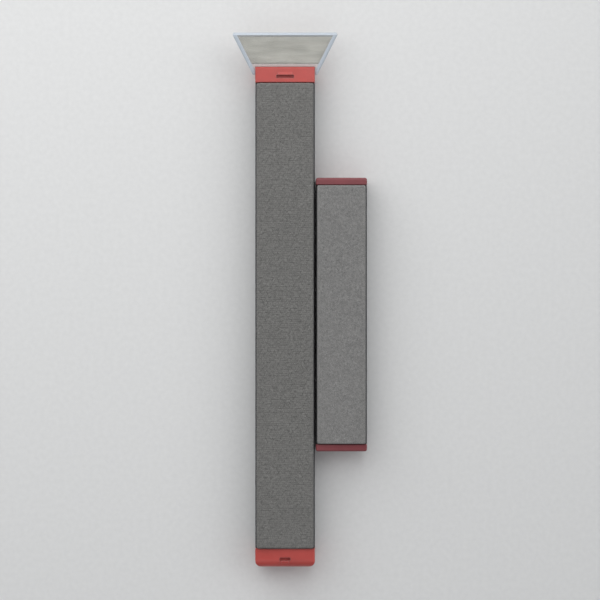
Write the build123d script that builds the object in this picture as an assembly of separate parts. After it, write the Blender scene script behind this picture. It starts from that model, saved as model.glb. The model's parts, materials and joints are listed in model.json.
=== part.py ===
from build123d import *
import math
import os

# Magnetic algae scraper for aquarium glass, in millimetres.
#
# Two slim bars lie side by side on their backs. The long one is the scraper unit, which
# works inside the tank: a sealed plastic casing with magnets, a scrubber pad along its
# face, and a steel blade under a clear guard at its nose. The short one is the handle
# unit, which works outside: the same stack of parts, faced with felt.
#
# Frame: origin at the middle of the scraper unit's back, on the surface it lies on.
# +X across the bars towards the handle unit, +Y along them towards the blade,
# +Z out of the pads' working faces.

# Driving dimensions ---------------------------------------------------------------
BAR_LENGTH = 120.0  # scraper unit, without the blade
BAR_WIDTH = 14.3
TAIL_CAP_LENGTH = 4.5
BLADE_HOLDER_LENGTH = 3.75
HANDLE_LENGTH = 65.6
HANDLE_WIDTH = 12.3
HANDLE_CAP_LENGTH = 1.7
HANDLE_SHIFT = 0.6  # the magnets of both units are centred here along the bar
UNIT_GAP = 0.2  # between the two units as they lie

CASE_HEIGHT = 7.8  # back to the face that carries the pad
CAP_HEIGHT = 9.0  # end caps stand up past the case, as end stops for the pad
BACK_RADIUS = 2.2
RIM_RADIUS = 0.3
EDGE_BREAK = 0.12  # small chamfer that shows each joint between two mouldings
END_ROUND = 0.5
TAIL_ROUND = 2.0  # the tail cap's face and back run down to its free end
TAIL_CORNER = 1.6  # corners of the caps' free ends, seen from above
HANDLE_CORNER = 0.6
WALL = 1.2
HANDLE_WALL = 1.1
BACK_WALL = 1.3
END_WALL = 1.5
BULKHEAD = 1.2  # between the magnet bay and the air chambers
COVER_THICKNESS = 1.2
COVER_RIB_Z = 4.0  # foot of the ribs that drop from a cover between two magnets
TAPE_THICKNESS = 0.2
TAPE_INSET = 0.2  # tape stops short of the pad's long edges
PAD_THICKNESS = 2.0
PAD_MARGIN = 0.3  # casing left showing on each side of a pad
PAD_CORNER = 0.4

MAGNET = (10.0, 18.0, 4.0)
MAGNET_COUNT = 3
MAGNET_GAP = 1.2
MAGNET_EDGE = 0.3
BAY_END_ROOM = 1.1  # free length of the magnet bay beyond the outer magnets
YOKE_THICKNESS = 1.0
YOKE_OVERHANG = 0.3
YOKE_CORNER = 1.0
RIB_THICKNESS = 1.0  # locating ribs beside each magnet
RIB_SPREAD = 5.0  # from the magnet's middle to each pair of ribs

BLADE_ANGLE = 18.0  # blade to the glass, degrees
BLADE_THICKNESS = 0.5
BLADE_TIP_HALF = 11.2
BLADE_FLARE = 0.496  # half-width gained per millimetre towards the edge
BLADE_SHANK_HALF = 6.4  # half-width of the part held in the nose
SHOULDER_GAP = 0.15  # from the blade's shoulders to the nose
SHANK_INSET = 0.3  # from the end of the shank to the rear of the nose
BEVEL_LENGTH = 1.5
EDGE_LAND = 0.04  # thickness left at the cutting edge
EDGE_REACH = 7.1  # cutting edge ahead of the blade holder
EDGE_DROP = 0.5  # cutting edge below the pad's free face: the pad gives by this much
GUARD_WALL = 0.8  # plate over the blade and rim past its edge
GUARD_RIM = 1.06  # from the blade's side to the guard's, measured across the bar
GUARD_SKIRT = 0.4  # rim below the blade's underside
GUARD_EAR = 1.6  # how far the ears reach back along the holder's flanks
GUARD_CORNER = 0.3
GUARD_BREAK = 0.25

FIT = 0.1  # sliding and glued fits, per side
GLUE = 0.05  # between stacked or inset pieces
PAST = 1.0  # how far a cut runs on past the face that it opens
BEYOND = 60.0  # larger than anything that is cut across its whole width or length

# Places worked out from them ---------------------------------------------------------
TAIL_Y = -BAR_LENGTH / 2
NOSE_Y = BAR_LENGTH / 2
CASE_TAIL_Y = TAIL_Y + TAIL_CAP_LENGTH
HOLDER_Y = NOSE_Y - BLADE_HOLDER_LENGTH
CASE_NOSE_Y = HOLDER_Y - FIT
HANDLE_X = BAR_WIDTH / 2 + UNIT_GAP + HANDLE_WIDTH / 2
HANDLE_REAR_Y = HANDLE_SHIFT - HANDLE_LENGTH / 2
HANDLE_FRONT_Y = HANDLE_SHIFT + HANDLE_LENGTH / 2
COVER_Z = CASE_HEIGHT - COVER_THICKNESS
TAPE_Z = CASE_HEIGHT
PAD_Z = TAPE_Z + TAPE_THICKNESS
FACE_Z = PAD_Z + PAD_THICKNESS
MAGNET_Z = BACK_WALL + GLUE + YOKE_THICKNESS
MAGNET_PITCH = MAGNET[1] + MAGNET_GAP
MAGNET_RUN = MAGNET_COUNT * MAGNET[1] + (MAGNET_COUNT - 1) * MAGNET_GAP
BAY_LOW_Y = HANDLE_SHIFT - MAGNET_RUN / 2 - BAY_END_ROOM
BAY_HIGH_Y = HANDLE_SHIFT + MAGNET_RUN / 2 + BAY_END_ROOM

# Socket in the nose of the scraper casing, and the tenon of the blade holder in it
SOCKET_DEPTH = 9.0
TENON_WIDTH = 10.0
TENON_HEIGHT = 4.0
TENON_LENGTH = 8.8
TENON_Z = 1.75
TENON_LEAD_IN = 0.4
SOCKET_Y = CASE_NOSE_Y - SOCKET_DEPTH
CHAMBER_NOSE_Y = SOCKET_Y - END_WALL
DETENT_Y = HOLDER_Y - 4.5
DETENT_RISE = 0.3  # spring crest above the underside of the tenon
SPRING_WIDTH = 4.0
SPRING_THICKNESS = 0.2
SPRING_LENGTH = 7.2
SPRING_ARCH = 2.6  # half-length of the arched middle
SPRING_CREST = 0.5  # half-length of its flat top
SPRING_POCKET = 0.5  # depth of the pocket in the socket's floor
DETENT_MOUTH = 1.9  # half-lengths of the groove in the tenon, at its mouth and roof
DETENT_ROOF = 0.8
DETENT_ROOM = 0.15  # over the crest

# Stubs on the casing ends, which the caps are glued over
STUB_WIDTH = 8.6
STUB_Z = (1.9, 6.6)
TAIL_STUB = 3.2
HANDLE_STUB = 0.9

# Screws that hold the clamp down on the blade, from the back
SCREW_X = 4.6
SCREW_Y = (HOLDER_Y + NOSE_Y) / 2
SCREW_RADIUS = 0.8
SCREW_HEAD_RADIUS = 1.3
SCREW_HEAD_Z = (0.35, 1.35)
SCREW_HEAD_ROUND = 0.3
SCREW_POINT = 0.35
SCREW_TOP = 8.1
RECESS_SPAN = 1.5  # cross recess in the head
RECESS_SLOT = 0.4
RECESS_DEPTH = 0.5
HEAD_ROOM = 0.2  # round the head, in its counterbore
THREAD_ROOM = 0.02  # round the thread, in the clamp
HOLE_ROOM = 0.15  # round the thread, in the blade

# Nail catches on the blade clamp and the tail cap: a slot with a raised ramp beyond it
NOSE_CATCH_WIDTH = 4.2
NOSE_CATCH_START = 1.0  # from the rear of the clamp
TAIL_CATCH_WIDTH = 2.6
TAIL_CATCH_START = 2.1  # from the front of the cap
CATCH_SLOT = 0.75
CATCH_SLOT_DEPTH = 0.9
CATCH_LIP = 0.7
CATCH_LIP_HEIGHT = 0.35
CATCH_LIP_ROOT = 0.6  # how deep the lip is rooted in the face
CATCH_LIP_INSET = 0.4
CATCH_LIP_BREAK = 0.1

# Grip grooves round the back and both sides of the handle
GROOVE_PITCH = 2.0
GROOVE_COUNT = 19
GROOVE_WIDTH = 0.8
GROOVE_DEPTH = 0.35
GROOVE_TOP = 6.4

# Blade frame: origin on the cutting edge, y outwards along the blade, z off its top face
BLADE_FRAME = Pos(0, NOSE_Y + EDGE_REACH, FACE_Z - EDGE_DROP) * Rot(BLADE_ANGLE, 0, 0)
SLOPE_COS = math.cos(math.radians(BLADE_ANGLE))


def span(x, y, z):
    """A block that fills three (low, high) ranges."""
    size = [high - low for low, high in (x, y, z)]
    middle = [(low + high) / 2 for low, high in (x, y, z)]
    return Pos(*middle) * Box(*size)


def around(middle, width):
    return (middle - width / 2, middle + width / 2)


def side_profile(points, width):
    """A solid of the given width across the bars, from its outline seen from the side."""
    outline = Plane.YZ * make_face(Polyline(*points, close=True))
    return extrude(outline, amount=width / 2, both=True)


def bar(x_mid, width, height, y):
    """A length of the bars' common section: rounded along the back, square at the face."""
    section = Pos(0, height / 2) * Rectangle(width, height)
    corners = section.vertices().group_by(Axis.Y)
    section = fillet(corners[0], BACK_RADIUS)
    section = fillet(section.vertices().group_by(Axis.Y)[-1], RIM_RADIUS)
    plane = Plane(origin=(x_mid, y[1], 0), x_dir=(1, 0, 0), z_dir=(0, -1, 0))
    return extrude(plane * section, amount=y[1] - y[0])


def break_ends(part):
    return chamfer(part.faces().filter_by(Axis.Y).edges(), EDGE_BREAK)


def upright_cylinder(x, y, radius, z):
    return Pos(x, y, (z[0] + z[1]) / 2) * Cylinder(radius, z[1] - z[0])


# Parts common to both units ------------------------------------------------------------
def magnet_places():
    first = HANDLE_SHIFT - (MAGNET_COUNT - 1) / 2 * MAGNET_PITCH
    return [first + i * MAGNET_PITCH for i in range(MAGNET_COUNT)]


def magnet(x_mid, y_mid):
    width, length, height = MAGNET
    block = span(around(x_mid, width), around(y_mid, length), (MAGNET_Z, MAGNET_Z + height))
    return chamfer(block.edges(), MAGNET_EDGE)


def yoke(x_mid):
    """Steel strip behind the magnets that closes their field."""
    plate = span(
        around(x_mid, MAGNET[0]),
        around(HANDLE_SHIFT, MAGNET_RUN + 2 * YOKE_OVERHANG),
        (BACK_WALL + GLUE, MAGNET_Z),
    )
    return fillet(plate.edges().filter_by(Axis.Z), YOKE_CORNER)


def cover(x_mid, width, y):
    """Lid over the magnets, let into the casing; its ribs drop between the magnets."""
    lid = span(around(x_mid, width), y, (COVER_Z, CASE_HEIGHT))
    rib_x = around(x_mid, MAGNET[0] - RIB_THICKNESS)
    for place in magnet_places()[:-1]:
        gap_y = around(place + MAGNET_PITCH / 2, MAGNET_GAP - 3 * FIT)
        lid += span(rib_x, gap_y, (COVER_RIB_Z, COVER_Z))
    return lid


def strip(x_mid, width, y, z):
    """A flat strip with slightly rounded corners: tape or pad."""
    return fillet(span(around(x_mid, width), y, z).edges().filter_by(Axis.Z), PAD_CORNER)


def stub(x_mid, y):
    return span(around(x_mid, STUB_WIDTH), y, STUB_Z)


def round_ended(y, free, radius):
    """All that lies within a cap's length and height, rounded over at its free end."""
    side = Pos((y[0] + y[1]) / 2, CAP_HEIGHT / 2) * Rectangle(y[1] - y[0], CAP_HEIGHT)
    side = fillet(side.vertices().group_by(Axis.X)[free], radius)
    return extrude(Plane.YZ * side, amount=BEYOND, both=True)


def end_cap(x_mid, width, joint_y, free_y, corner, end_round, pocket_depth):
    """A cap glued over a casing's stub, with softened edges and corners at its free end."""
    low, high = sorted((joint_y, free_y))
    outwards, free, joint = (1, -1, 0) if free_y > joint_y else (-1, 0, -1)
    cap = bar(x_mid, width, CAP_HEIGHT, (low, high))
    plan = Pos(x_mid, (low + high) / 2) * Rectangle(width, high - low)
    plan = fillet(plan.vertices().group_by(Axis.Y)[free], corner)
    cap = cap & extrude(plan, amount=CAP_HEIGHT)
    cap = cap & round_ended((low, high), free, end_round)
    cap = chamfer(cap.faces().sort_by(Axis.Y)[joint].edges(), EDGE_BREAK)
    pocket_y = sorted((joint_y, joint_y + outwards * pocket_depth))
    pocket_z = (STUB_Z[0] - GLUE, STUB_Z[1] + GLUE)
    return cap - span(around(x_mid, STUB_WIDTH + 2 * GLUE), pocket_y, pocket_z)


def with_nail_catch(part, width, start_y, outwards):
    """Cuts the slot of a nail catch into a part's face and raises the ramp beyond it."""
    slot_end = start_y + outwards * CATCH_SLOT
    lip_end = slot_end + outwards * CATCH_LIP
    slot_z = (CAP_HEIGHT - CATCH_SLOT_DEPTH, CAP_HEIGHT + PAST)
    part -= span(around(0, width), sorted((start_y, slot_end)), slot_z)
    root = CAP_HEIGHT - CATCH_LIP_ROOT
    ramp = [
        (slot_end, root),
        (slot_end, CAP_HEIGHT + CATCH_LIP_HEIGHT),
        (lip_end, CAP_HEIGHT),
        (lip_end, root),
    ]
    lip = side_profile(ramp, width - 2 * CATCH_LIP_INSET)
    return part + chamfer(lip.edges().filter_by(Axis.X).sort_by(Axis.Z)[-1], CATCH_LIP_BREAK)


# Scraper unit ---------------------------------------------------------------------------
def scraper_casing():
    """Tray with a bay for the magnets, two air chambers, and a socket in its nose."""
    casing = break_ends(bar(0, BAR_WIDTH, CASE_HEIGHT, (CASE_TAIL_Y, CASE_NOSE_Y)))
    inside = BAR_WIDTH - 2 * WALL
    chambers = (
        (CASE_TAIL_Y + END_WALL, BAY_LOW_Y - BULKHEAD),
        (BAY_LOW_Y, BAY_HIGH_Y),
        (BAY_HIGH_Y + BULKHEAD, CHAMBER_NOSE_Y),
    )
    for y in chambers:
        casing -= span(around(0, inside), y, (BACK_WALL, CASE_HEIGHT + PAST))
    casing -= span(
        around(0, BAR_WIDTH - WALL),
        (CASE_TAIL_Y + END_WALL / 2, CHAMBER_NOSE_Y + END_WALL / 2),
        (COVER_Z, CASE_HEIGHT + PAST),
    )
    casing += magnet_ribs(inside)
    casing -= span(
        around(0, TENON_WIDTH + 2 * FIT),
        (SOCKET_Y, CASE_NOSE_Y + PAST),
        (TENON_Z - FIT, TENON_Z + TENON_HEIGHT + FIT),
    )
    casing -= span(
        around(0, SPRING_WIDTH + 2 * FIT),
        around(DETENT_Y, SPRING_LENGTH + 2 * FIT),
        (TENON_Z - FIT - SPRING_POCKET, TENON_Z),
    )
    return casing + stub(0, (CASE_TAIL_Y - TAIL_STUB, CASE_TAIL_Y))


def magnet_ribs(inside):
    """Pairs of ribs on the side walls that keep each magnet on the bar's centreline."""
    reach = MAGNET[0] / 2 + GLUE
    ribs = []
    for y in magnet_places():
        for rib_y in (y - RIB_SPREAD, y + RIB_SPREAD):
            for x in ((-inside / 2, -reach), (reach, inside / 2)):
                ribs.append(span(x, around(rib_y, RIB_THICKNESS), (BACK_WALL, COVER_Z - 2 * FIT)))
    return ribs


def tail_cap():
    pocket_depth = TAIL_STUB + FIT
    cap = end_cap(0, BAR_WIDTH, CASE_TAIL_Y, TAIL_Y, TAIL_CORNER, TAIL_ROUND, pocket_depth)
    return with_nail_catch(cap, TAIL_CATCH_WIDTH, CASE_TAIL_Y - TAIL_CATCH_START, -1)


def detent_spring():
    """Leaf in the socket's floor; its crest clicks into the groove under the tenon."""
    foot = TENON_Z - FIT - SPRING_POCKET + GLUE
    crest = TENON_Z + DETENT_RISE - SPRING_THICKNESS
    half = SPRING_LENGTH / 2
    lower = [
        (DETENT_Y - half, foot),
        (DETENT_Y - SPRING_ARCH, foot),
        (DETENT_Y - SPRING_CREST, crest),
        (DETENT_Y + SPRING_CREST, crest),
        (DETENT_Y + SPRING_ARCH, foot),
        (DETENT_Y + half, foot),
    ]
    upper = [(y, z + SPRING_THICKNESS) for y, z in reversed(lower)]
    return side_profile(lower + upper, SPRING_WIDTH)


def detent_groove():
    """Groove across the underside of the tenon, a little wider than the spring's crest."""
    mouth = TENON_Z - FIT
    roof = TENON_Z + DETENT_RISE + DETENT_ROOM
    outline = [
        (DETENT_Y - DETENT_MOUTH, mouth),
        (DETENT_Y - DETENT_ROOF, roof),
        (DETENT_Y + DETENT_ROOF, roof),
        (DETENT_Y + DETENT_MOUTH, mouth),
    ]
    return side_profile(outline, SPRING_WIDTH + PAST)


# Blade cartridge --------------------------------------------------------------------------
def above_blade_seat():
    """Everything above the slope that the blade's underside lies on."""
    return BLADE_FRAME * Pos(0, 0, BEYOND / 2 - BLADE_THICKNESS) * Box(BEYOND, BEYOND, BEYOND)


def screw_bores(radius, z):
    return [upright_cylinder(x, SCREW_Y, radius, z) for x in (-SCREW_X, SCREW_X)]


def blade_holder():
    """Nose block with the tenon that slides into the casing, sloped on top for the blade."""
    block = break_ends(bar(0, BAR_WIDTH, CAP_HEIGHT, (HOLDER_Y, NOSE_Y))) - above_blade_seat()
    tenon_y = (HOLDER_Y - TENON_LENGTH, HOLDER_Y)
    tenon = span(around(0, TENON_WIDTH), tenon_y, (TENON_Z, TENON_Z + TENON_HEIGHT))
    lead_in = tenon.faces().sort_by(Axis.Y)[0].edges()
    block += chamfer(lead_in, TENON_LEAD_IN)
    block -= detent_groove()
    block -= screw_bores(SCREW_RADIUS + GLUE, (-PAST, CAP_HEIGHT))
    return block - screw_bores(SCREW_HEAD_RADIUS + HEAD_ROOM, (-PAST, SCREW_HEAD_Z[1]))


def blade_clamp():
    """Cap that presses the blade onto the holder, with the nail catch on its face."""
    clamp = break_ends(bar(0, BAR_WIDTH, CAP_HEIGHT, (HOLDER_Y, NOSE_Y))) & above_blade_seat()
    clamp = clamp & round_ended((HOLDER_Y, NOSE_Y), -1, END_ROUND)
    seat = Box(2 * (BLADE_SHANK_HALF + GLUE), BEYOND, BLADE_THICKNESS)
    clamp -= BLADE_FRAME * Pos(0, 0, -BLADE_THICKNESS / 2) * seat
    clamp -= screw_bores(SCREW_RADIUS + THREAD_ROOM, (0, SCREW_TOP + FIT))
    return with_nail_catch(clamp, NOSE_CATCH_WIDTH, HOLDER_Y + NOSE_CATCH_START, 1)


def flare_half(y):
    """Half-width of the blade, y millimetres along it from the cutting edge."""
    return BLADE_TIP_HALF + BLADE_FLARE * y


def blade():
    """Trapezium of sheet steel with a single bevel, drilled for the clamp screws."""
    shoulder = -(EDGE_REACH - SHOULDER_GAP) / SLOPE_COS
    tail = -(EDGE_REACH + BLADE_HOLDER_LENGTH - SHANK_INSET) / SLOPE_COS
    right = [
        (flare_half(0), 0),
        (flare_half(shoulder), shoulder),
        (BLADE_SHANK_HALF, shoulder),
        (BLADE_SHANK_HALF, tail),
    ]
    left = [(-x, y) for x, y in reversed(right)]
    sheet = extrude(make_face(Polyline(*right, *left, close=True)), amount=-BLADE_THICKNESS)
    wedge = [
        (-BEVEL_LENGTH, -BLADE_THICKNESS),
        (0, -EDGE_LAND),
        (PAST, -EDGE_LAND),
        (PAST, -BLADE_THICKNESS - PAST),
        (-BEVEL_LENGTH, -BLADE_THICKNESS - PAST),
    ]
    sheet -= side_profile(wedge, BEYOND)
    return BLADE_FRAME * sheet - screw_bores(SCREW_RADIUS + HOLE_ROOM, (0, CAP_HEIGHT))


def blade_screws():
    """Two pan-head screws with cross recesses, from the back of the holder."""
    group = []
    recess_z = (0, SCREW_HEAD_Z[0] + RECESS_DEPTH)
    for x in (-SCREW_X, SCREW_X):
        head = upright_cylinder(x, SCREW_Y, SCREW_HEAD_RADIUS, SCREW_HEAD_Z)
        head = fillet(head.edges().sort_by(Axis.Z)[0], SCREW_HEAD_ROUND)
        for width, length in ((RECESS_SPAN, RECESS_SLOT), (RECESS_SLOT, RECESS_SPAN)):
            head -= span(around(x, width), around(SCREW_Y, length), recess_z)
        shank = upright_cylinder(x, SCREW_Y, SCREW_RADIUS, (SCREW_HEAD_Z[1], SCREW_TOP))
        shank = chamfer(shank.edges().sort_by(Axis.Z)[-1], SCREW_POINT)
        group.append(head + shank)
    return Compound(children=group)


def trapezium(tip, root, margin):
    """The blade's flared outline from tip to root along it, widened by a margin."""
    right = [(flare_half(tip) + margin, tip), (flare_half(root) + margin, root)]
    left = [(-x, y) for x, y in reversed(right)]
    return make_face(Polyline(*right, *left, close=True))


def blade_guard():
    """Clear lid over the blade with a rim round its edge; two ears grip the holder's flanks.

    It lifts straight off, so the rim is open below and has room for the flare to pass.
    """
    tip = GUARD_WALL / SLOPE_COS
    ear_end = -(EDGE_REACH + GUARD_EAR) / SLOPE_COS
    bottom = -BLADE_THICKNESS - GUARD_SKIRT
    plan = trapezium(tip, ear_end, GUARD_RIM)
    plan = fillet(plan.vertices().group_by(Axis.Y)[-1], GUARD_CORNER)
    lid = extrude(Pos(0, 0, bottom) * plan, amount=FIT + GUARD_WALL - bottom)
    lid = chamfer(lid.faces().sort_by(Axis.Z)[-1].edges(), GUARD_BREAK)
    inside = trapezium(FIT, 2 * ear_end, 2 * FIT)
    lid -= extrude(Pos(0, 0, bottom - PAST) * inside, amount=FIT - bottom + PAST)
    holder_y = (HOLDER_Y - PAST, NOSE_Y + FIT)
    return BLADE_FRAME * lid - span(around(0, BAR_WIDTH + 2 * FIT), holder_y, (0, 2 * CAP_HEIGHT))


# Handle unit --------------------------------------------------------------------------------
def handle_casing():
    """Tray for the magnets with grip grooves down both sides and a stub at each end."""
    y = (HANDLE_REAR_Y + HANDLE_CAP_LENGTH, HANDLE_FRONT_Y - HANDLE_CAP_LENGTH)
    casing = break_ends(bar(HANDLE_X, HANDLE_WIDTH, CASE_HEIGHT, y))
    inside = HANDLE_WIDTH - 2 * HANDLE_WALL
    bay_z = (BACK_WALL, CASE_HEIGHT + PAST)
    casing -= span(around(HANDLE_X, inside), (BAY_LOW_Y, BAY_HIGH_Y), bay_z)
    casing -= span(
        around(HANDLE_X, inside + HANDLE_WALL),
        (BAY_LOW_Y - END_WALL / 2, BAY_HIGH_Y + END_WALL / 2),
        (COVER_Z, CASE_HEIGHT + PAST),
    )
    casing -= [grip_groove(i - (GROOVE_COUNT - 1) / 2) for i in range(GROOVE_COUNT)]
    casing += stub(HANDLE_X, (y[0] - HANDLE_STUB, y[0]))
    return casing + stub(HANDLE_X, (y[1], y[1] + HANDLE_STUB))


def grip_groove(place):
    """One groove that wraps round the back and sides, counted from the middle one."""
    y = around(HANDLE_SHIFT + place * GROOVE_PITCH, GROOVE_WIDTH)
    outside = span(around(HANDLE_X, HANDLE_WIDTH + PAST), y, (-PAST, GROOVE_TOP))
    core = bar(HANDLE_X, HANDLE_WIDTH - 2 * GROOVE_DEPTH, CASE_HEIGHT, y)
    return outside - Pos(0, 0, GROOVE_DEPTH) * core


def handle_cap(free_y, outwards):
    joint_y = free_y - outwards * HANDLE_CAP_LENGTH
    pocket_depth = HANDLE_STUB + GLUE
    return end_cap(
        HANDLE_X, HANDLE_WIDTH, joint_y, free_y, HANDLE_CORNER, END_ROUND, pocket_depth
    )


# Assembly -------------------------------------------------------------------------------------
def build():
    scraper_pad_y = (CASE_TAIL_Y + FIT, CASE_NOSE_Y - FIT)
    scraper_cover_y = (
        CASE_TAIL_Y + END_WALL / 2 + GLUE,
        CHAMBER_NOSE_Y + END_WALL / 2 - GLUE,
    )
    felt_y = (
        HANDLE_REAR_Y + HANDLE_CAP_LENGTH + FIT,
        HANDLE_FRONT_Y - HANDLE_CAP_LENGTH - FIT,
    )
    handle_cover_y = (BAY_LOW_Y - END_WALL / 2 + GLUE, BAY_HIGH_Y + END_WALL / 2 - GLUE)
    handle_cover_width = HANDLE_WIDTH - HANDLE_WALL - 2 * GLUE
    scraper_pad_width = BAR_WIDTH - 2 * PAD_MARGIN
    felt_width = HANDLE_WIDTH - 2 * PAD_MARGIN
    tape_z = (TAPE_Z, PAD_Z)
    pad_z = (PAD_Z, FACE_Z)

    nodes = {
        "scraper_casing": scraper_casing(),
        "scraper_cover": cover(0, BAR_WIDTH - WALL - 2 * GLUE, scraper_cover_y),
        "scraper_yoke": yoke(0),
        "scraper_tape": strip(0, scraper_pad_width - 2 * TAPE_INSET, scraper_pad_y, tape_z),
        "scrubber_pad": strip(0, scraper_pad_width, scraper_pad_y, pad_z),
        "tail_cap": tail_cap(),
        "detent_spring": detent_spring(),
        "blade_holder": blade_holder(),
        "blade_clamp": blade_clamp(),
        "blade": blade(),
        "blade_screws": blade_screws(),
        "blade_guard": blade_guard(),
        "handle_casing": handle_casing(),
        "handle_cover": cover(HANDLE_X, handle_cover_width, handle_cover_y),
        "handle_yoke": yoke(HANDLE_X),
        "handle_tape": strip(HANDLE_X, felt_width - 2 * TAPE_INSET, felt_y, tape_z),
        "felt_pad": strip(HANDLE_X, felt_width, felt_y, pad_z),
        "handle_cap_front": handle_cap(HANDLE_FRONT_Y, 1),
        "handle_cap_rear": handle_cap(HANDLE_REAR_Y, -1),
    }
    for number, y in enumerate(magnet_places(), 1):
        nodes[f"scraper_magnet_{number}"] = magnet(0, y)
        nodes[f"handle_magnet_{number}"] = magnet(HANDLE_X, y)
    return nodes


os.makedirs("parts", exist_ok=True)
for name, shape in build().items():
    export_step(shape, f"parts/{name}.step")
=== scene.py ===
import json
import math

import bpy
import numpy as np
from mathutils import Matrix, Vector


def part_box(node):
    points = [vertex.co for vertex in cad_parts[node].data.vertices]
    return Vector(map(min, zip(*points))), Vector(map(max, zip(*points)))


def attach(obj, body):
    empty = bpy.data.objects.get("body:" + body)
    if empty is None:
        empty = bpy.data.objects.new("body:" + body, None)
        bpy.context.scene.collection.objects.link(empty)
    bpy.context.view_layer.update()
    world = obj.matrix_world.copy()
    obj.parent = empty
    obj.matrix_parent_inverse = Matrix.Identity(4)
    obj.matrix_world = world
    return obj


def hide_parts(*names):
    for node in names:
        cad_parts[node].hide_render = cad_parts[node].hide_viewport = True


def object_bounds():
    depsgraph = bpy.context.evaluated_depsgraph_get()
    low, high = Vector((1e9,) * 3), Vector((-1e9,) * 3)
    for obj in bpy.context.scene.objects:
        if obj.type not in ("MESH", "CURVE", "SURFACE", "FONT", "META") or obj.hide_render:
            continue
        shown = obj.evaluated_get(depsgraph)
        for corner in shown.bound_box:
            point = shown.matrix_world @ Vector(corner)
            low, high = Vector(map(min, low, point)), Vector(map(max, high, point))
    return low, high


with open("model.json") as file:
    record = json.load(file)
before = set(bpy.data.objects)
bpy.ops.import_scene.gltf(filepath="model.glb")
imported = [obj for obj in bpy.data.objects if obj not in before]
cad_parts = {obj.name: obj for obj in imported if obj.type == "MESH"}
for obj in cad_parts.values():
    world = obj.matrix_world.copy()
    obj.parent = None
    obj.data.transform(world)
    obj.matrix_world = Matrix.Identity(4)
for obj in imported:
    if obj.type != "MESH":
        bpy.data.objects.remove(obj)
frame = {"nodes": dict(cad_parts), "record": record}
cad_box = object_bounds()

# Looks of a magnetic algae scraper: two slim bars that lie on their backs, pads up.
# Lengths are in metres, and MM turns millimetres into them.
MM = 0.001

NODES = frame["nodes"]
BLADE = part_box("blade")
NOSE_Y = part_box("blade_clamp")[1].y
BLADE_FLARE = 0.52  # half-width that the blade gains for each metre towards its edge
CENTRE = (Vector(cad_box[0]) + Vector(cad_box[1])) / 2

NOISE_RANGE = (0.3, 0.7)  # shading noise seldom leaves this range
BEVEL = 1.4 * MM  # length of the blade's honed bevel
SKIRT_ROWS = 14  # rows of faces down a pad's sides
GLUED = 0.35 * MM  # height over which a pad's relief dies away above the tape
TALLEST = 0.2 * MM  # the most that a pad's relief stands above the CAD face
HAIR_RADIUS = 0.016 * MM
HAIR_POINTS = 5  # along each hair
HAIR_SECTION = ((1.0, 0.0), (-0.5, 0.87), (-0.5, -0.87))  # corners, sideways and up, in radii
FLOOR_SIZE = 3.0  # each way


def put(name, data):
    """Stands a mesh, a light or a lens in the scene."""
    thing = bpy.data.objects.new(name, data)
    bpy.context.scene.collection.objects.link(thing)
    return thing


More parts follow.
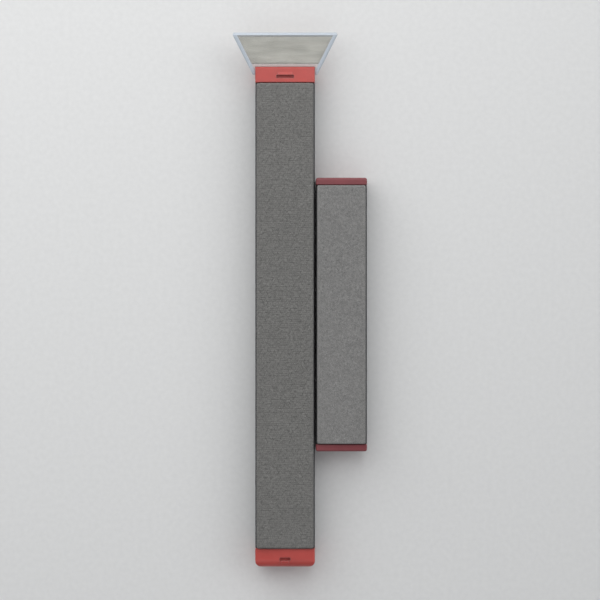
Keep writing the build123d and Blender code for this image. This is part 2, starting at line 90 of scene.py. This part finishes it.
# ------------------------------------------------------------------------------ shading
class Shader:
    """A material's node tree, built up a node at a time around one Principled surface."""

    def __init__(self, name):
        self.material = bpy.data.materials.new(name)
        self.material.use_nodes = True
        self.tree = self.material.node_tree
        self.surface = self.tree.nodes["Principled BSDF"]
        self.place = self.add("ShaderNodeTexCoord").outputs["Object"]

    def add(self, kind, inputs=None, **settings):
        node = self.tree.nodes.new(kind)
        for key, value in settings.items():
            setattr(node, key, value)
        for key, value in (inputs or {}).items():
            self.feed(node.inputs[key], value)
        return node

    def feed(self, socket, value):
        """Links a socket to another node's output, or sets it to a plain value."""
        if isinstance(value, bpy.types.NodeSocket):
            self.tree.links.new(value, socket)
        elif socket.type == "RGBA" and len(value) == 3:
            socket.default_value = (*value, 1)
        else:
            socket.default_value = value

    def finish(self, inputs):
        """Feeds the surface and hands over the finished material."""
        for key, value in inputs.items():
            self.feed(self.surface.inputs[key], value)
        return self.material

    def stretched(self, stretch, turn=0.0):
        """The place on the object, turned about +Z and then stretched along each axis."""
        turned = self.add("ShaderNodeMapping", {"Vector": self.place, "Rotation": (0, 0, turn)})
        return self.add(
            "ShaderNodeMapping", {"Vector": turned.outputs[0], "Scale": [1 / s for s in stretch]}
        ).outputs[0]

    def noise(self, size, detail=2.0, stretch=(1, 1, 1), turn=0.0):
        """Cloudy noise from 0 to 1 whose largest blotches are about size metres across."""
        settings = {"Vector": self.stretched(stretch, turn), "Scale": 1 / size, "Detail": detail}
        return self.add("ShaderNodeTexNoise", settings).outputs[0]

    def cells(self, size):
        """Distance to the nearest of many scattered points, size metres apart."""
        node = self.add("ShaderNodeTexVoronoi", {"Vector": self.place, "Scale": 1 / size})
        return node.outputs["Distance"]

    def spread(self, value, start, end, low=0.0, high=1.0):
        """value from start to end becomes low to high, and stops there."""
        limits = {"From Min": start, "From Max": end, "To Min": low, "To Max": high}
        return self.add("ShaderNodeMapRange", {"Value": value, **limits}).outputs["Result"]

    def sum(self, *values):
        total = values[0]
        for value in values[1:]:
            total = self.add("ShaderNodeMath", {0: total, 1: value}, operation="ADD").outputs[0]
        return total

    def times(self, a, b):
        return self.add("ShaderNodeMath", {0: a, 1: b}, operation="MULTIPLY").outputs[0]

    def mix(self, share, a, b):
        """Colour a where share is 0 and colour b where it is 1."""
        node = self.add("ShaderNodeMix", data_type="RGBA")
        self.feed(node.inputs[0], share)
        self.feed(node.inputs[6], a)
        self.feed(node.inputs[7], b)
        return node.outputs[2]

    def bump(self, height, depth, under=None):
        inputs = {"Height": height, "Distance": depth, "Strength": 1.0}
        if under is not None:
            inputs["Normal"] = under
        return self.add("ShaderNodeBump", inputs).outputs[0]

    def edges(self, radius):
        """1 along convex and concave edges, falling to 0 about radius metres away."""
        eased = self.add("ShaderNodeBevel", {"Radius": radius}, samples=6).outputs[0]
        plain = self.add("ShaderNodeNewGeometry").outputs["Normal"]
        likeness = self.add("ShaderNodeVectorMath", {0: eased, 1: plain}, operation="DOT_PRODUCT")
        flat, sharp = 0.995, 0.86  # likeness on a face and on an edge
        return self.spread(likeness.outputs["Value"], flat, sharp)

    def attribute(self, name):
        return self.add("ShaderNodeAttribute", attribute_name=name).outputs["Fac"]

    def past_blade(self, start, end):
        """0 over the blade, rising to 1 from start to end metres outside its outline."""
        x, y, _ = self.add("ShaderNodeSeparateXYZ", {0: self.place}).outputs
        across = self.add("ShaderNodeMath", {0: x}, operation="ABSOLUTE").outputs[0]
        flank = self.sum(across, self.times(y, -BLADE_FLARE))
        flank = self.sum(flank, BLADE_FLARE * BLADE[1].y - BLADE[1].x)
        front = self.sum(y, -BLADE[1].y)
        outside = self.add("ShaderNodeMath", {0: flank, 1: front}, operation="MAXIMUM").outputs[0]
        return self.spread(outside, start, end)


def shade(colour, factor):
    """The colour made darker, or lighter where factor is over 1."""
    return tuple(channel * factor for channel in colour)


# ---------------------------------------------------------------------------- materials
def moulded_plastic(name, colour, roughness, grain_depth, edge_wear_and_highlight):
    """Injection-moulded plastic: eroded-tool grain, flow mottle, hairline scuffs, and pale edges that
    are partly rubbed wear and partly painted highlight.
    """
    s = Shader(name)
    mottle = s.noise(6 * MM, detail=3)
    grain = s.sum(s.cells(0.22 * MM), s.noise(0.10 * MM, detail=1))
    scuffs = s.spread(s.noise(0.5 * MM, detail=4, stretch=(1, 40, 1), turn=0.25), 0.62, 0.74)
    cross_scuffs = s.spread(s.noise(0.6 * MM, detail=4, stretch=(30, 1, 1), turn=0.5), 0.66, 0.76)
    marks = s.sum(scuffs, s.times(cross_scuffs, 0.6))
    rub = s.times(s.edges(0.25 * MM), s.spread(s.noise(2.5 * MM, detail=4), 0.35, 0.65, 0.35, 1.0))
    base = s.mix(s.spread(mottle, *NOISE_RANGE), shade(colour, 0.88), shade(colour, 1.10))
    # Pale edges: partly rubbed wear, partly a painted highlight along every edge.
    base = s.mix(s.times(rub, edge_wear_and_highlight), base, [0.5 * c + 0.16 for c in colour])
    base = s.mix(s.times(marks, 0.10), base, [0.7 * c + 0.10 for c in colour])
    handled = s.noise(9 * MM, detail=2)
    handled = s.spread(handled, 0.35, 0.65, roughness - 0.05, roughness + 0.07)
    flow = s.bump(mottle, 0.02 * MM)
    return s.finish({
        "Base Color": base,
        "Roughness": s.sum(handled, s.times(marks, 0.08), s.times(rub, -0.10)),
        "Normal": s.bump(grain, grain_depth, flow),
        "IOR": 1.50,
    })


def scrubber_fabric():
    """Knitted loops: the attribute pile is 1 on a loop's crown and 0 in the ground cloth, and the ground
    cloth is painted darker as shade.
    """
    s = Shader("scrubber_fabric")
    pile = s.attribute("pile")
    yarn = s.sum(
        s.noise(0.16 * MM, detail=3, stretch=(1, 3, 1), turn=0.6),
        s.noise(0.16 * MM, detail=3, stretch=(1, 3, 1), turn=-0.7),
    )
    blotch = s.noise(5 * MM, detail=3)
    dark, light = (0.110, 0.108, 0.103), (0.212, 0.208, 0.198)
    # Painted shade: the ground cloth between loops is darker and the crowns lighter, following pile.
    base = s.mix(s.spread(pile, 0.0, 0.9), dark, light)
    flecks = s.spread(s.cells(0.55 * MM), 0.10, 0.30, 1.0, 0.0)
    base = s.mix(s.times(flecks, 0.25), base, (0.32, 0.315, 0.305))
    base = s.mix(s.spread(yarn, 0.8, 1.25, 0.0, 0.40), base, shade(dark, 0.9))
    base = s.mix(s.spread(blotch, 0.35, 0.65, 0.0, 0.18), base, shade(light, 0.55))
    return s.finish({
        "Base Color": base,
        "Roughness": 0.92,
        "Sheen Weight": 0.25,
        "Sheen Roughness": 0.5,
        "Specular IOR Level": 0.25,
        "Normal": s.bump(yarn, 0.05 * MM),
    })


def felt():
    """Pressed wool: fine fibres lying every way, a little lighter where they stand up."""
    s = Shader("felt")
    fibres = [
        s.noise(0.07 * MM, detail=3, stretch=(1, 9, 1), turn=turn) for turn in (0.2, 1.1, 1.9, 2.7)
    ]
    mat = s.spread(s.sum(*fibres), 1.75, 2.25)
    patches = s.noise(3.5 * MM, detail=4)
    dark, light = (0.134, 0.132, 0.129), (0.279, 0.273, 0.265)
    base = s.mix(mat, dark, light)
    base = s.mix(s.spread(patches, 0.35, 0.65, 0.0, 0.20), base, shade(light, 0.62))
    stray = s.spread(s.noise(0.05 * MM, detail=2, stretch=(1, 22, 1), turn=0.8), 0.66, 0.75)
    base = s.mix(s.times(stray, 0.5), base, (0.46, 0.465, 0.46))
    return s.finish({
        "Base Color": base,
        "Roughness": 0.95,
        "Sheen Weight": 0.35,
        "Sheen Roughness": 0.45,
        "Specular IOR Level": 0.2,
        "Normal": s.bump(mat, 0.015 * MM),
    })


def fibre(name, colour):
    """Loose hairs: each a little lighter or darker than the next."""
    s = Shader(name)
    tone = s.noise(0.6 * MM, detail=3)
    base = s.mix(s.spread(tone, *NOISE_RANGE), shade(colour, 0.75), shade(colour, 1.25))
    return s.finish({
        "Base Color": base,
        "Roughness": s.spread(tone, *NOISE_RANGE, 0.55, 0.8),
        "Sheen Weight": 0.3,
    })


def clear_guard():
    """Moulded polypropylene: clear over the blade, milky where the rim makes it thick, and
    pale pinkish along its rear edge, a painted highlight tinted by a painted reflection of the red clamp
    behind it."""
    s = Shader("guard_plastic")
    flow = s.noise(4 * MM, detail=3)
    fine = s.noise(0.35 * MM, detail=3)
    along = s.add("ShaderNodeSeparateXYZ", {0: s.place}).outputs["Y"]
    rim = s.past_blade(0.05 * MM, 0.25 * MM)
    # Rear strip over the blade: painted highlight, tinted by a painted reflection of the red clamp.
    rear = s.spread(along, NOSE_Y + 0.55 * MM, NOSE_Y + 0.85 * MM, 0.9, 0.0)
    milk = s.spread(s.sum(rim, rear), 0.0, 1.0)
    base = s.mix(s.spread(flow, *NOISE_RANGE), (0.88, 0.88, 0.86), (0.95, 0.95, 0.93))
    pale = s.mix(s.spread(fine, *NOISE_RANGE), (0.49, 0.54, 0.60), (0.55, 0.60, 0.66))
    # Pinkish in the rear strip (painted reflection of the red clamp), pale in the rim.
    milk_tint_with_red_reflection = s.mix(rim, (0.62, 0.56, 0.55), pale)
    base = s.mix(milk, base, milk_tint_with_red_reflection)
    return s.finish({
        "Base Color": base,
        "Transmission Weight": s.spread(milk, 0, 1, 0.96, 0.10),
        "Roughness": s.sum(s.spread(fine, *NOISE_RANGE, 0.08, 0.16), s.times(milk, 0.30)),
        "Subsurface Weight": s.times(milk, 0.35),
        "Subsurface Radius": (1.0, 1.0, 1.0),
        "Subsurface Scale": 0.8 * MM,
        "IOR": 1.45,
        "Normal": s.bump(fine, 0.004 * MM, s.bump(flow, 0.03 * MM)),
    })


def ground_steel():
    """Stainless strip: grinding lines across it, and a brighter honed bevel underneath."""
    s = Shader("blade_steel")
    lines = s.noise(0.05 * MM, detail=3, stretch=(60, 1, 60))
    broad = s.noise(0.5 * MM, detail=2, stretch=(30, 1, 30))
    bands = s.noise(1.8 * MM, detail=2, stretch=(7, 1, 7))
    stains = s.noise(3 * MM, detail=4, stretch=(3, 1, 1))
    along = s.add("ShaderNodeSeparateXYZ", {0: s.place}).outputs["Y"]
    facing = s.add("ShaderNodeNewGeometry").outputs["Normal"]
    underneath = s.spread(s.add("ShaderNodeSeparateXYZ", {0: facing}).outputs["Z"], 0.1, -0.1)
    honed = BLADE[1].y - BEVEL
    bevel = s.times(s.spread(along, honed - 0.05 * MM, honed + 0.05 * MM), underneath)
    base = s.mix(s.spread(lines, *NOISE_RANGE), (0.70, 0.685, 0.635), (0.87, 0.855, 0.80))
    base = s.mix(s.spread(broad, 0.4, 0.6, 0.0, 0.5), base, (0.84, 0.83, 0.79))
    base = s.mix(s.spread(stains, 0.45, 0.7, 0.0, 0.35), base, (0.56, 0.545, 0.50))
    base = s.mix(s.spread(bands, 0.38, 0.62, 0.0, 0.55), base, (0.50, 0.49, 0.44))
    base = s.mix(s.times(bevel, 0.6), base, (0.86, 0.86, 0.85))
    return s.finish({
        "Base Color": base,
        "Metallic": 1.0,
        "Roughness": s.sum(s.spread(lines, *NOISE_RANGE, 0.36, 0.50), s.times(bevel, -0.16)),
        "Anisotropic": 0.4,
        "Normal": s.bump(s.sum(lines, broad), 0.004 * MM),
    })


def worn_metal(name, colour, roughness, grain=(1, 1, 1)):
    """Rolled or plated metal with rubbed edges, and a fine grain stretched along each axis."""
    s = Shader(name)
    fine = s.noise(0.12 * MM, detail=3, stretch=grain)
    patches = s.noise(2.5 * MM, detail=4)
    rub = s.edges(0.15 * MM)
    base = s.mix(s.spread(fine, *NOISE_RANGE), shade(colour, 0.85), shade(colour, 1.08))
    base = s.mix(s.spread(patches, 0.45, 0.75, 0.0, 0.35), base, shade(colour, 0.6))
    base = s.mix(s.times(rub, 0.5), base, [min(1.0, c * 1.3) for c in colour])
    return s.finish({
        "Base Color": base,
        "Metallic": 1.0,
        "Roughness": s.spread(fine, *NOISE_RANGE, roughness - 0.05, roughness + 0.08),
        "Normal": s.bump(fine, 0.006 * MM),
    })


def foam_tape():
    """White closed-cell mounting tape, seen only at its edges."""
    s = Shader("pad_tape")
    bubbles = s.cells(0.08 * MM)
    base = s.mix(s.spread(bubbles, 0.2, 0.7), (0.42, 0.42, 0.40), (0.62, 0.62, 0.59))
    return s.finish({"Base Color": base, "Roughness": 0.8, "Normal": s.bump(bubbles, 0.02 * MM)})


def pale_floor():
    s = Shader("floor")
    tooth = s.noise(1.2 * MM, detail=4)
    base = s.mix(s.spread(tooth, *NOISE_RANGE), (0.665, 0.665, 0.66), (0.695, 0.695, 0.69))
    return s.finish({"Base Color": base, "Roughness": 0.85, "Specular IOR Level": 0.2})


def finish_nodes():
    """Gives each CAD node the material that its slot of the record stands for."""
    by_slot = {
        "casing_plastic": moulded_plastic(
            "casing_plastic", (0.030, 0.031, 0.034), roughness=0.46, grain_depth=0.010 * MM, edge_wear_and_highlight=0.35
        ),
        "red_plastic": moulded_plastic(
            "red_plastic", (0.430, 0.055, 0.045), roughness=0.34, grain_depth=0.004 * MM, edge_wear_and_highlight=0.65
        ),
        # Painted shade: a darker copy of the red plastic for the parts in the dark red slot.
        "dark_red_plastic": moulded_plastic(
            "dark_red_plastic", (0.190, 0.036, 0.043), roughness=0.34, grain_depth=0.004 * MM, edge_wear_and_highlight=0.30
        ),
        "scrubber_fabric": scrubber_fabric(),
        "felt": felt(),
        "pad_tape": foam_tape(),
        "guard_plastic": clear_guard(),
        "blade_steel": ground_steel(),
        "screw_steel": worn_metal("screw_steel", (0.55, 0.55, 0.54), roughness=0.30),
        "spring_steel": worn_metal("spring_steel", (0.52, 0.52, 0.50), roughness=0.25, grain=(1, 20, 1)),
        "yoke_steel": worn_metal("yoke_steel", (0.50, 0.52, 0.55), roughness=0.42, grain=(1, 12, 1)),
        "magnet_nickel": worn_metal("magnet_nickel", (0.62, 0.61, 0.57), roughness=0.16),
    }
    for part in frame["record"]["subparts"]:
        obj = NODES[part["node"]]
        obj.data.materials.clear()
        obj.data.materials.append(by_slot[part["material_slot"]])
    return by_slot


# --------------------------------------------------------------------- repeatable noise
def scatter(*integers):
    """A repeatable number from 0 to 1 for each set of integers: the last digits of a sine."""
    weights, magnified = (127.1, 311.7, 74.7, 269.5), 43758.5453
    mixed = sum(integer * weight for integer, weight in zip(integers, weights))
    return np.modf(np.abs(np.sin(mixed) * magnified))[0]


def cloud(points, size, seed):
    """Smooth noise from -1 to 1 with blotches about size across, at each point."""
    cell = np.floor(points / size)
    part = points / size - cell
    part = part * part * (3 - 2 * part)
    total = np.zeros(len(points))
    for corner in np.ndindex(2, 2, 2):
        weight = np.prod(np.where(corner, part, 1 - part), axis=1)
        x, y, z = (cell + corner).T
        total += weight * scatter(x, y, z, seed)
    return 2 * total - 1


def loops(points, pitch, seed):
    """Crowns of a knitted pile, from 0 between loops to 1 on top, at each point. The loops
    stand in staggered rows, and wander and reach are in pitches."""
    wander, reach, lowest = 0.42, 0.62, 0.65
    place = points[:, :2] / pitch
    place = place + np.stack([0.5 * (np.floor(place[:, 1]) % 2), np.zeros(len(place))], axis=1)
    cell = np.floor(place)
    best = np.zeros(len(points))
    for dx, dy in np.ndindex(3, 3):
        near = cell + (dx - 1, dy - 1)
        jitter = np.stack([scatter(near[:, 0], near[:, 1], seed + k) for k in (1, 2)], axis=1)
        middle = near + 0.5 + wander * (jitter - 0.5)
        height = lowest + (1 - lowest) * scatter(near[:, 0], near[:, 1], seed + 3)
        distance = np.linalg.norm(place - middle, axis=1) / reach
        best = np.maximum(best, height * np.clip(1 - distance**2, 0, 1) ** 0.7)
    return best


# ------------------------------------------------------------------------------ meshes
def new_piece(name, vertices, faces, material):
    mesh = bpy.data.meshes.new(name)
    mesh.from_pydata(vertices.tolist(), [], faces)
    mesh.polygons.foreach_set("use_smooth", [True] * len(mesh.polygons))
    mesh.materials.append(material)
    mesh.update()
    return put(name, mesh)


def slab(low, high, step):
    """The vertices and faces of a closed box with a fine grid on top, finely cut sides and
    strips across its underside."""
    nx, ny = (max(2, round((high[i] - low[i]) / step)) for i in (0, 1))
    x, y = np.meshgrid(
        np.linspace(low[0], high[0], nx + 1), np.linspace(low[1], high[1], ny + 1), indexing="ij"
    )
    top = np.stack([x.ravel(), y.ravel(), np.full(x.size, high[2])], axis=1)
    number = np.arange(x.size).reshape(nx + 1, ny + 1)
    quads = np.stack([number[:-1, :-1], number[1:, :-1], number[1:, 1:], number[:-1, 1:]], axis=-1)
    faces = quads.reshape(-1, 4).tolist()
    ring = np.concatenate([number[:, 0], number[-1, 1:], number[-2::-1, -1], number[0, -2:0:-1]])
    rows, above = [top], ring
    for row in range(1, SKIRT_ROWS + 1):
        level = top[ring].copy()
        level[:, 2] = high[2] + (low[2] - high[2]) * row / SKIRT_ROWS
        below = x.size + (row - 1) * len(ring) + np.arange(len(ring))
        faces += np.stack([above, below, np.roll(below, -1), np.roll(above, -1)], axis=1).tolist()
        rows.append(level)
        above = below
    first, side = above[: nx + 1], above[nx : nx + ny + 1]
    back, other = above[nx + ny : 2 * nx + ny + 1], np.roll(above, -(2 * nx + ny))[: ny + 1][::-1]
    faces.append([*first[::-1], other[1], side[1]])
    faces += [[side[j], other[j], other[j + 1], side[j + 1]] for j in range(1, ny - 1)]
    faces.append([side[-2], other[-2], *back[::-1]])
    return np.concatenate(rows), faces


def rounded(points, low, high, radius):
    """Moves a box's surface onto one with rounded upright and upper edges.
    Returns the new points and their outward directions."""
    inner_low = np.array([low[0] + radius, low[1] + radius, low[2]])
    inner_high = np.array(high) - radius
    core = np.clip(points, inner_low, inner_high)
    outward = points - core
    length = np.linalg.norm(outward, axis=1, keepdims=True)
    outward = np.where(length > 0, outward / np.maximum(length, 1e-12), (0, 0, -1.0))
    return core + radius * outward, outward


def pad(name, node, body, relief, material, step, edge, margin):
    """A glued-down pad in place of its CAD block, with a relief standing on it. The relief is
    worked out on the pad's skin unrolled flat, so that it runs on down the sides. It gives a
    height at each point and, for a looped pile, how near the point is to a loop's crown."""
    low, high = (np.array(corner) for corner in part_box(node))
    low, high = low + (margin, margin, 0), high - (margin, margin, 0)
    points, faces = slab(low, high, step)
    points, outward = rounded(points, low, high, edge)
    unrolled = points + outward * (high[2] - points[:, 2])[:, None]
    height, crown = relief(unrolled)
    rise = np.clip((points[:, 2] - low[2]) / GLUED, 0, 1)
    points = points + outward * (height * rise)[:, None]
    points[:, 2] = np.clip(points[:, 2], low[2], high[2] + TALLEST)
    piece = new_piece(name, points, faces, material)
    if crown is not None:
        pile = piece.data.attributes.new("pile", "FLOAT", "POINT")
        pile.data.foreach_set("value", crown.astype(np.float32))
    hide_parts(node)
    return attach(piece, body)


def loop_relief(points):
    """Rows of knitted loops with ragged crowns, on a pad that isn't quite flat."""
    crown = loops(points, 0.52 * MM, seed=3)
    sway = 0.024 * MM * cloud(points, 14 * MM, 5) + 0.008 * MM * cloud(points, 3 * MM, 6)
    ragged = 0.014 * MM * cloud(points, 0.4 * MM, 7)
    return 0.15 * MM * (crown - 0.75) + sway + ragged, crown


def felt_relief(points):
    """Pressed felt, with low lumps and tufts and no loops."""
    lumps = cloud(points, 0.9 * MM, 11)
    tufts = cloud(points, 0.3 * MM, 12)
    sway = cloud(points, 12 * MM, 13)
    height = 0.004 * MM * lumps + 0.010 * MM * tufts + 0.012 * MM * sway - 0.03 * MM
    return height, None


def hairs(name, node, body, count, length, lift, material, seed):
    """Loose fibres that lie over a pad's face, some of them past its long edges.
    Each is a thin tube with three sides that dips into the pad at both ends."""
    inset, overhang, end_gap = 0.5 * MM, 0.14 * MM, 0.1 * MM  # of middles, long edges and ends
    sunk, least_rise = 0.09 * MM, 0.07 * MM  # of a hair's ends, and of its middle above them
    low, high = (np.array(corner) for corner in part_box(node))
    random = np.random.default_rng(seed)
    middle = random.uniform(low[:2] + inset, high[:2] - inset, (count, 2))
    heading = random.uniform(0, math.pi, count)
    reach = random.uniform(0.5, 1.0, count) * length
    bow = random.normal(0, 0.16, count) * reach
    arch = random.uniform(0.2, 1.0, count) * lift
    t = np.linspace(0, 1, HAIR_POINTS)
    hump = 4 * t * (1 - t)
    along = np.stack([np.cos(heading), np.sin(heading)], axis=1)
    across = np.stack([-np.sin(heading), np.cos(heading)], axis=1)
    xy = middle[:, None] + along[:, None] * ((t - 0.5) * reach[:, None])[..., None]
    xy = xy + across[:, None] * (hump * bow[:, None])[..., None]
    xy[..., 0] = np.clip(xy[..., 0], low[0] - overhang, high[0] + overhang)
    xy[..., 1] = np.clip(xy[..., 1], low[1] + end_gap, high[1] - end_gap)
    z = high[2] - sunk + hump * (arch + least_rise)[:, None]
    corners = []
    for sideways, up in HAIR_SECTION:
        flat = xy + HAIR_RADIUS * sideways * across[:, None]
        corners.append(np.concatenate([flat, (z + HAIR_RADIUS * up)[..., None]], axis=-1))
    vertices = np.stack(corners, axis=2).reshape(-1, 3)
    faces = []
    for first in range(0, len(vertices), 3 * HAIR_POINTS):
        last = first + 3 * (HAIR_POINTS - 1)
        for row in range(first, last, 3):
            for a, b in ((0, 1), (1, 2), (2, 0)):
                faces.append((row + a, row + b, row + 3 + b, row + 3 + a))
        faces += [(first + 2, first + 1, first), (last, last + 1, last + 2)]
    piece = new_piece(name, vertices, faces, material)
    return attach(piece, body)


# ---------------------------------------------------------------------------- the stage
def lamp(light, place):
    """Hangs a light at a place, aimed at the middle of the object."""
    holder = put(light.name, light)
    holder.location = place
    holder.rotation_euler = (CENTRE - Vector(place)).to_track_quat("-Z", "Y").to_euler()


def softbox(name, place, size, watts):
    light = bpy.data.lights.new(name, "AREA")
    light.shape = "RECTANGLE"
    light.size, light.size_y = size
    light.energy = watts
    lamp(light, place)


def skylight(name, place, spread, strength):
    """Even light over object and floor alike, from a wide patch of sky in one direction."""
    light = bpy.data.lights.new(name, "SUN")
    light.angle = spread
    light.energy = strength
    lamp(light, place)


def studio():
    half = FLOOR_SIZE / 2
    corners = np.array([(-half, -half, 0), (half, -half, 0), (half, half, 0), (-half, half, 0)])
    floor = new_piece("floor", corners, [(0, 1, 2, 3)], pale_floor())
    softbox("key", (-0.07, 0.21, 0.22), (0.50, 0.50), 1.25)
    softbox("back", (0.00, -0.40, 0.60), (0.62, 0.48), 0.58)
    skylight("fill", (0.42, 0.12, 0.38), math.radians(40), 0.57)
    world = bpy.data.worlds.new("studio")
    world.use_nodes = True
    background = world.node_tree.nodes["Background"]
    background.inputs["Color"].default_value = (0.93, 0.96, 1.0, 1)
    background.inputs["Strength"].default_value = 0.30
    bpy.context.scene.world = world
    bpy.context.scene.view_settings.view_transform = "Standard"


def camera():
    """Straight above the bars, with the blade at the top of the picture."""
    room = 1.13  # height of the picture over the object's length
    lens = bpy.data.cameras.new("camera")
    lens.lens = 120
    lens.clip_start = 0.01
    seen = room * (cad_box[1][1] - cad_box[0][1])
    distance = seen * lens.lens / lens.sensor_width
    eye = put("camera", lens)
    eye.location = (CENTRE.x, CENTRE.y, CENTRE.z + distance)
    bpy.context.scene.camera = eye


# ---------------------------------------------------------------------------- the object
camera()
studio()
materials = finish_nodes()

scrubber = pad(
    "scrubber_pile", "scrubber_pad", "scraper_unit", loop_relief,
    materials["scrubber_fabric"], step=0.165 * MM, edge=0.45 * MM, margin=0.03 * MM,
)
felt_face = pad(
    "felt_face", "felt_pad", "handle_unit", felt_relief,
    materials["felt"], step=0.14 * MM, edge=0.40 * MM, margin=0.03 * MM,
)

scrubber_hairs = hairs(
    "scrubber_hairs", "scrubber_pad", "scraper_unit", count=6400, length=1.2 * MM,
    lift=0.07 * MM, material=fibre("scrubber_fibre", (0.22, 0.22, 0.21)), seed=21,
)
felt_hairs = hairs(
    "felt_hairs", "felt_pad", "handle_unit", count=6800, length=1.4 * MM,
    lift=0.03 * MM, material=fibre("felt_fibre", (0.262, 0.262, 0.258)), seed=22,
)
